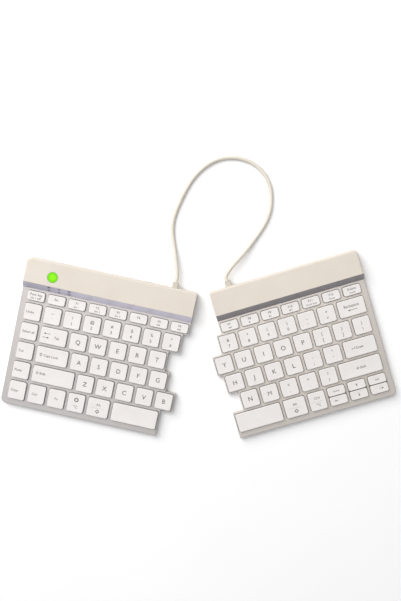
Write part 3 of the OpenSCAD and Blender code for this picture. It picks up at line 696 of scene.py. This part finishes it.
INK_LIFT = 0.02 * MM
INK_FILM = 0.05 * MM
# Height of a capital in the built-in font, as a share of its size, and how much its outline is thickened
CAPITAL = 0.729
GLYPH_WEIGHT = 0.01
GLYPH_STEPS = 3
RING_SIDES = 20
# Heights of capitals
LETTER = 4.3
SYMBOL = 3.0
LARGE_WORD = 2.6
WORD = 2.4
FUNCTION = 2.2
TINY = 1.8
SMALL_WORD = 1.7
# Widths of lines
SHAFT = 0.42
SIGN_LINE = 0.4
OUTLINE = 0.36
DIAMOND_LINE = 0.7
PAUSE_LINE = 0.26
SKIP_LINE = 0.24
WAVE_LINE = 0.2
FINE_LINE = 0.14
# Lengths and half widths of arrow heads
SMALL_HEAD = (0.9, 0.65)
BOLD_HEAD = (2.1, 0.85)
KEY_HEAD = (1.5, 0.9)
# Places above or below the middle of a cap: signs in pairs, names and signs of function keys,
# and both uses of modifiers
SHIFTED_Y = 2.7
PLAIN_Y = -2.9
LONE_NAME_Y = 0.9
NAME_Y = 1.5
SIGN_Y = -1.9
FIRST_USE_Y = 3.1
DIVIDER_Y = -0.4
SECOND_USE_Y = -3.6
SIGN_GROWTH = 1.3
WAVE_PITCH = 0.6
DASH = 0.7
DASH_PITCH = 1.1
text_cache = {}


def text_shape(text):
    """Vertices and faces of a text whose capitals are one unit high, centred on its width, base at 0."""
    if text not in text_cache:
        curve = bpy.data.curves.new("legend", "FONT")
        curve.body = text
        curve.align_x = "CENTER"
        curve.resolution_u = GLYPH_STEPS
        # The outline of an M crosses itself when it is thickened
        curve.offset = 0 if text == "M" else GLYPH_WEIGHT
        words = bpy.data.objects.new("legend", curve)
        bpy.context.scene.collection.objects.link(words)
        bpy.context.view_layer.update()
        ready = words.evaluated_get(bpy.context.evaluated_depsgraph_get())
        data = bpy.data.meshes.new_from_object(ready)
        points = [(v.co.x / CAPITAL, v.co.y / CAPITAL) for v in data.vertices]
        faces = [tuple(p.vertices) for p in data.polygons]
        bpy.data.objects.remove(words)
        bpy.data.curves.remove(curve)
        bpy.data.meshes.remove(data)
        text_cache[text] = (points, faces)
    return text_cache[text]


def word(text, size, x=0.0, y=0.0):
    """Legend of words with capitals of a size, centred on (x, y)."""
    points, faces = text_shape(text)
    return [(px * size + x, (py - 0.5) * size + y) for px, py in points], faces


def word_from(text, size, left, y):
    """Legend of words that starts at a left edge."""
    points, faces = word(text, size, 0, y)
    shift = left - min(p[0] for p in points)
    return [(px + shift, py) for px, py in points], faces


def stroke(path, width, x=0.0, y=0.0):
    """Line of a width along a path."""
    points = []
    faces = []
    for (ax, ay), (bx, by) in zip(path, path[1:]):
        run = math.hypot(bx - ax, by - ay)
        tx, ty = (bx - ax) / run * width / 2, (by - ay) / run * width / 2
        n = len(points)
        points += [
            (ax - ty - tx, ay + tx - ty), (ax + ty - tx, ay - tx - ty),
            (bx + ty + tx, by - tx + ty), (bx - ty + tx, by + tx + ty),
        ]
        faces.append((n, n + 1, n + 2, n + 3))
    return [(px + x, py + y) for px, py in points], faces


def solid_shape(points):
    """Filled outline."""
    return points, [tuple(range(len(points)))]


def ring_shape(radius, width, y=0.0):
    """Flat ring."""
    points = []
    for k in range(RING_SIDES):
        angle = 2 * math.pi * k / RING_SIDES
        for r in (radius, radius - width):
            points.append((r * math.cos(angle), r * math.sin(angle) + y))
    n = len(points)
    faces = [(2 * k, (2 * k + 2) % n, (2 * k + 3) % n, 2 * k + 1) for k in range(RING_SIDES)]
    return points, faces


def arrow(direction, length, x=0.0, y=0.0, head=SMALL_HEAD):
    """Arrow with a filled head, pointing left, right, up or down."""
    turn = {"right": 0, "up": 90, "left": 180, "down": 270}[direction]
    c, s = math.cos(math.radians(turn)), math.sin(math.radians(turn))
    head_length, half_width = head
    neck = length / 2 - head_length
    shapes = [
        stroke([(-length / 2, 0), (neck, 0)], SHAFT),
        solid_shape([(neck, -half_width), (length / 2, 0), (neck, half_width)]),
    ]
    return [
        ([(px * c - py * s + x, px * s + py * c + y) for px, py in points], faces)
        for points, faces in shapes
    ]


def hollow_arrow(x, y, bar=False):
    """Outlined upward arrow, with a bar under it for a lock key."""
    path = [(-0.5, -1), (-0.5, 0), (-1.2, 0), (0, 1.2), (1.2, 0), (0.5, 0), (0.5, -1), (-0.5, -1)]
    shapes = [stroke(path, OUTLINE, x, y)]
    if bar:
        shapes.append(stroke([(-0.5, -1.6), (0.5, -1.6)], SHAFT, x, y))
    return shapes


def pair(upper, lower):
    """Shifted sign above the plain one."""
    return [word(upper, SYMBOL, 0, SHIFTED_Y), word(lower, SYMBOL, 0, PLAIN_Y)]


def under_name(shape):
    """Sign moved to the lower part of a function key."""
    points, faces = shape
    return [(px * SIGN_GROWTH, py * SIGN_GROWTH + SIGN_Y) for px, py in points], faces


def function(name, sign=None):
    """Function key: name above, second use below."""
    if sign is None:
        return [word(name, FUNCTION, 0, LONE_NAME_Y)]
    below = [under_name(s) for s in sign] if isinstance(sign, list) else [word(sign, TINY, 0, SIGN_Y)]
    return [word(name, FUNCTION, 0, NAME_Y), *below]


def speaker(waves):
    """Small loudspeaker with a number of sound waves."""
    cone = [(-1.3, -0.3), (-0.8, -0.3), (-0.2, -0.8), (-0.2, 0.8), (-0.8, 0.3), (-1.3, 0.3)]
    wave = [(0.3, -0.5), (0.5, 0), (0.3, 0.5)]
    return [solid_shape(cone), *(stroke(wave, WAVE_LINE, WAVE_PITCH * k) for k in range(waves))]


def play():
    """Play and pause sign."""
    return [
        solid_shape([(-1, -0.7), (0.1, 0), (-1, 0.7)]),
        *(stroke([(x, -0.6), (x, 0.6)], PAUSE_LINE) for x in (0.5, 1)),
    ]


def skip(direction):
    """Previous or next track sign."""
    return [
        solid_shape([(0, -0.6), (direction, 0), (0, 0.6)]),
        solid_shape([(-direction, -0.6), (0, 0), (-direction, 0.6)]),
        stroke([(direction * 1.15, -0.6), (direction * 1.15, 0.6)], SKIP_LINE),
    ]


def second_use(upper, lower):
    """Modifier with a fine line between its two uses."""
    dash = [(-DASH / 2, DIVIDER_Y), (DASH / 2, DIVIDER_Y)]
    dashes = [stroke(dash, FINE_LINE, DASH_PITCH * k) for k in range(-5, 6)]
    return [word(upper, WORD, 0, FIRST_USE_Y), *dashes, *lower]


def diamond():
    """Plain outlined diamond as a second use."""
    path = [(0, 1.6), (1.6, 0), (0, -1.6), (-1.6, 0), (0, 1.6)]
    return [stroke(path, DIAMOND_LINE, 0, SECOND_USE_Y)]


def option_line():
    """Stepped line sign as a second use."""
    paths = ([(-2, 1.1), (-0.8, 1.1), (0.8, -1.1), (2, -1.1)], [(0.7, 1.1), (2, 1.1)])
    return [stroke(path, SIGN_LINE, 0, SECOND_USE_Y) for path in paths]


def letters(text):
    """One centred letter for each key."""
    return [[word(c, LETTER)] for c in text]


# Shapes on each key of a node, rear and left first
LEGENDS = {
    "left_function_keys": [
        [word("Func key", WORD, 0, 1.6), word("on / off", WORD, 0, -1.7)], function("Esc"),
        function("F1", "dev 1"), function("F2", "dev 2"), function("F3", "dev 3"), function("F4"),
        function("F5", skip(-1)), function("F6", play()),
    ],
    "left_number_keys": [pair(*p) for p in ("~`", "!1", "@2", "#3", "$4", "%5", "^6")],
    "left_edit_keys": [
        [word_from(t, WORD, -6, 0)] for t in ("Undo", "Select all", "Cut", "Paste", "Copy")
    ],
    "left_tab_key": [[
        *arrow("left", 6.6, -6.4, 1.9, BOLD_HEAD), *arrow("right", 6.2, -6.8, -1.9, BOLD_HEAD),
        word("Tab", WORD, 3.4, -0.8),
    ]],
    "left_qwert_keys": letters("QWERT"),
    "left_caps_lock_key": [[*hollow_arrow(-10.6, 0.3, True), word_from("Caps Lock", WORD, -8, -0.1)]],
    "left_asdfg_keys": letters("ASDFG"),
    "left_shift_key": [[*hollow_arrow(-15.4, 1), word_from("Shift", WORD, -13.2, 1)]],
    "left_zxcvb_keys": letters("ZXCVB"),
    "left_modifier_keys": [
        [word_from("Ctrl", WORD, -4.6, 0)], [word("Fn", WORD)],
        [ring_shape(2.1, 0.95, FIRST_USE_Y), *option_line()],
    ],
    "left_alt_key": [second_use("Alt", diamond())],
    "left_space_bar": [[]],
    "right_function_keys": [
        function("F7", skip(1)), function("F8", speaker(0)), function("F9", speaker(1)),
        function("F10", speaker(2)), function("F11", "Scroll lock"), function("F12", "Pause"),
        function("Delete", "Insert"),
    ],
    "right_number_keys": [pair(*p) for p in ("&7", "*8", "(9", ")0", "_-", "+=")],
    "right_backspace_key": [[
        word("Backspace", LARGE_WORD, 0, 2), *arrow("left", 8.6, 0, -2.2, BOLD_HEAD),
    ]],
    "right_yuiop_keys": letters("YUIOP") + [pair(*p) for p in ("{[", "}]", "|\\")],
    "right_hjkl_keys": letters("HJKL") + [pair(*p) for p in (":;", "\"'")],
    "right_enter_key": [[
        *arrow("left", 3.6, -6.6, 0), stroke([(-4.9, 0), (-4.9, 1.4)], SHAFT),
        word_from("Enter", WORD, -3.6, 0.2),
    ]],
    "right_nm_keys": letters("NM") + [pair(*p) for p in ("<,", ">.", "?/")],
    "right_shift_key": [[*hollow_arrow(-2.6, 0), word_from("Shift", WORD, -0.6, 0)]],
    "right_space_bar": [[]],
    "right_alt_key": [second_use("Alt", diamond())],
    "right_ctrl_key": [second_use("Ctrl", option_line())],
    "right_home_key": [[word("Home", SMALL_WORD)]],
    "right_left_key": [arrow("left", 3.6, -2.2, 0, KEY_HEAD)],
    "right_up_key": [arrow("up", 3.4, head=KEY_HEAD)],
    "right_down_key": [arrow("down", 3.4, head=KEY_HEAD)],
    "right_end_key": [[word("End", SMALL_WORD)]],
    "right_right_key": [arrow("right", 3.6, 2.2, 0, KEY_HEAD)],
}


def add_print(mesh, places, faces):
    """Flat print through places on a surface."""
    verts = [mesh.verts.new(place) for place in places]
    for face in faces:
        mesh.faces.new([verts[i] for i in face])


def finish_print(mesh, name, material, body):
    """Turns flat print into a thin closed film that rides on a body."""
    for face in mesh.faces:
        face.normal_update()
        if face.normal.z < 0:
            face.normal_flip()
    bmesh.ops.solidify(mesh, geom=mesh.faces[:], thickness=INK_FILM)
    return finish_mesh(mesh, name, material, body, smooth=False)


def on_cap(box, x, y):
    """Point just above a cap's dished top, at a distance from its middle, in its half's own axes."""
    low, high = box
    middle = (low + high) / 2
    top_x = (high.x - low.x) / 2 - CAP_DRAFT - CAP_FILLET
    top_y = (high.y - low.y) / 2 - CAP_DRAFT - CAP_FILLET
    z = high.z - dish(x, y, top_x, top_y) + INK_LIFT
    return Vector((middle.x + x, middle.y + y, z))


def make_legends(node, material):
    """Printed legends of a node's keys, lying on the dished tops."""
    turn = half_turn(node)
    mesh = bmesh.new()
    for box, shapes in zip(solids(node), LEGENDS[node]):
        for points, faces in shapes:
            add_print(mesh, [turn @ on_cap(box, x * MM, y * MM) for x, y in points], faces)
    if not mesh.verts:
        mesh.free()
        return
    finish_print(mesh, f"{node}_legends", material, node)


# Signs under the indicator windows

SIGN_DROP = 6.1 * MM
INDICATOR_SIGNS = (
    [word("A", WORD)],
    [ring_shape(1.2, 0.5)],
    [
        stroke([(-1.2, -0.8), (1, -0.8), (1, 0.8), (-1.2, 0.8), (-1.2, -0.8)], SIGN_LINE),
        stroke([(1.5, -0.3), (1.5, 0.3)], SIGN_LINE),
    ],
)


def strip_face():
    """Rear edge of the left strip's face in its half's own axes, as y and z, and the slope down from it."""
    low, high = solids("left_light_strip")[0]
    bar_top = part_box("left_rear_cover")[1][2]
    deck_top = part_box("left_top_frame")[1][2]
    slope = math.atan2(high.z - deck_top, high.y - low.y)
    return high.y + (bar_top - high.z) / math.tan(slope), bar_top, slope


def on_strip(face, x, down):
    """Point just above the strip's face, at a distance down the slope, in the half's own axes."""
    rear, top, slope = face
    y = rear - down * math.cos(slope) - INK_LIFT * math.sin(slope)
    z = top - down * math.sin(slope) + INK_LIFT * math.cos(slope)
    return Vector((x, y, z))


def make_indicator_marks(material):
    """Small printed signs under the three indicator windows."""
    turn = half_turn("left")
    strip = strip_face()
    mesh = bmesh.new()
    for (low, high), shapes in zip(solids("left_indicator_lights"), INDICATOR_SIGNS):
        middle = (low.x + high.x) / 2
        for points, faces in shapes:
            places = [on_strip(strip, middle + x * MM, SIGN_DROP - y * MM) for x, y in points]
            add_print(mesh, [turn @ place for place in places], faces)
    finish_print(mesh, "indicator_marks", material, "left_half")


def make_keys():
    """All caps with their legends, and the signs under the indicators."""
    plastic = key_plastic()
    print_ink = ink()
    for node in LEGENDS:
        make_caps(node, plastic)
        make_legends(node, print_ink)
    make_indicator_marks(print_ink)


# Domes and scissor links under the keys


def split_by_key(source, side):
    """Meshes of a node's solids, sorted by the key that they stand under."""
    turn = half_turn(side, -1)
    boxes = [(node, low, high) for node in LEGENDS if node.startswith(side) for low, high in solids(node)]
    mesh = node_mesh(source)
    parts = {}
    copies = {}
    for group in islands(mesh):
        low, high = box_of([turn @ vertex.co for vertex in group])
        middle = (low + high) / 2
        owner = next(
            node for node, a, b in boxes if a.x < middle.x < b.x and a.y < middle.y < b.y
        )
        if owner not in parts:
            parts[owner] = bmesh.new()
        part = parts[owner]
        for vertex in group:
            copies[vertex] = (part, part.verts.new(vertex.co))
    for face in mesh.faces:
        part = copies[face.verts[0]][0]
        part.faces.new([copies[vertex][1] for vertex in face.verts])
    mesh.free()
    return parts


def make_springs(kind, material):
    """Domes or links as one piece for each key node."""
    for side in YAW:
        source = f"{side}_{kind}"
        for node, mesh in split_by_key(source, side).items():
            piece = finish_mesh(mesh, f"{node}_{kind}", material, f"{side}_half")
            piece.data.set_sharp_from_angle(angle=SHARP_ANGLE)
            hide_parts(source)
            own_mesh(piece)


def make_mechanism():
    """Soft and hinged pieces that each key stands on."""
    make_springs("domes", silicone_rubber())
    make_springs("scissor_links", link_plastic())


# Cable

CABLE_D = 3.6 * MM
CABLE_SIDES = 20
# Points of the cable's line for each stretch of its route
CABLE_STEP = 6
# Where the cable leaves the strain reliefs, and its route between them, in mm
PORT_Z = 7
STRAIGHT = 4
REST_Z = 1.8
LEFT_EXIT = (-19.5795, 59.0025)
RIGHT_EXIT = (28.2449, 60.395)
CABLE_MIDDLE = [
    (-18.4, 68.6, 6.8), (-19.3, 76, 5.9), (-20.5, 85, 4.3), (-22, 94.6, 2.7),
    (-23.1, 105.4, REST_Z), (-22.5, 115.6, REST_Z), (-19.6, 125.6, REST_Z), (-15.4, 135.4, REST_Z),
    (-10.6, 145, REST_Z), (-4.7, 154.4, REST_Z), (2.7, 162.7, REST_Z), (11.6, 169.4, REST_Z),
    (21.8, 173.7, REST_Z), (32.6, 174.8, REST_Z), (42.8, 173.2, REST_Z), (51.7, 169.4, REST_Z),
    (59, 163.6, REST_Z), (64.5, 156.2, REST_Z), (68, 147, REST_Z), (69, 136.8, REST_Z),
    (68.1, 126.5, REST_Z), (64.8, 116.7, REST_Z), (59.5, 107.4, REST_Z), (53.1, 98.3, 2.3),
    (46.6, 89.8, 3.6), (40.4, 82.4, 5.2), (34.6, 76, 6.5), (29.8, 69.8, 7),
]


def straight_end(side, exit_point):
    """End of the straight stretch out of a strain relief."""
    x, y = exit_point
    return (x - STRAIGHT * math.sin(YAW[side]), y + STRAIGHT * math.cos(YAW[side]), PORT_Z)


def spline_point(a, b, c, d, t):
    """Point between b and c of a smooth curve through a, b, c and d."""
    return (
        2 * b + (c - a) * t + (2 * a - 5 * b + 4 * c - d) * t ** 2 + (3 * b - a - 3 * c + d) * t ** 3
    ) / 2


def cable_line():
    """Closely spaced points along the cable's middle, in metres, none below where it lies on the desk."""
    route = [
        (*LEFT_EXIT, PORT_Z), straight_end("left", LEFT_EXIT), *CABLE_MIDDLE,
        straight_end("right", RIGHT_EXIT), (*RIGHT_EXIT, PORT_Z),
    ]
    route = [Vector(p) * MM for p in route]
    padded = [2 * route[0] - route[1], *route, 2 * route[-1] - route[-2]]
    line = []
    for i in range(len(route) - 1):
        for k in range(CABLE_STEP):
            point = spline_point(*padded[i:i + 4], k / CABLE_STEP)
            point.z = max(point.z, REST_Z * MM)
            line.append(point)
    line.append(route[-1])
    return line


def cable_ring(mesh, line, i):
    """Ring of vertices round one point of the cable's line."""
    run = (line[min(i + 1, len(line) - 1)] - line[max(i - 1, 0)]).normalized()
    across = run.cross(Vector((0, 0, 1))).normalized()
    up = across.cross(run)
    ring = []
    for k in range(CABLE_SIDES):
        angle = 2 * math.pi * k / CABLE_SIDES
        ring.append(mesh.verts.new(
            line[i] + CABLE_D / 2 * (math.cos(angle) * across + math.sin(angle) * up)
        ))
    return ring


def make_cable():
    """Round cable jacket along its line between the halves."""
    line = cable_line()
    mesh = bmesh.new()
    add_skin(mesh, [cable_ring(mesh, line, i) for i in range(len(line))])
    bmesh.ops.recalc_face_normals(mesh, faces=mesh.faces)
    cable = finish_mesh(mesh, "cable_jacket", cable_rubber(), None)
    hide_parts("link_cable")
    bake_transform(cable)


make_camera()
make_lights()
make_floor()
make_cable()
dress_nodes()
make_keys()
make_mechanism()
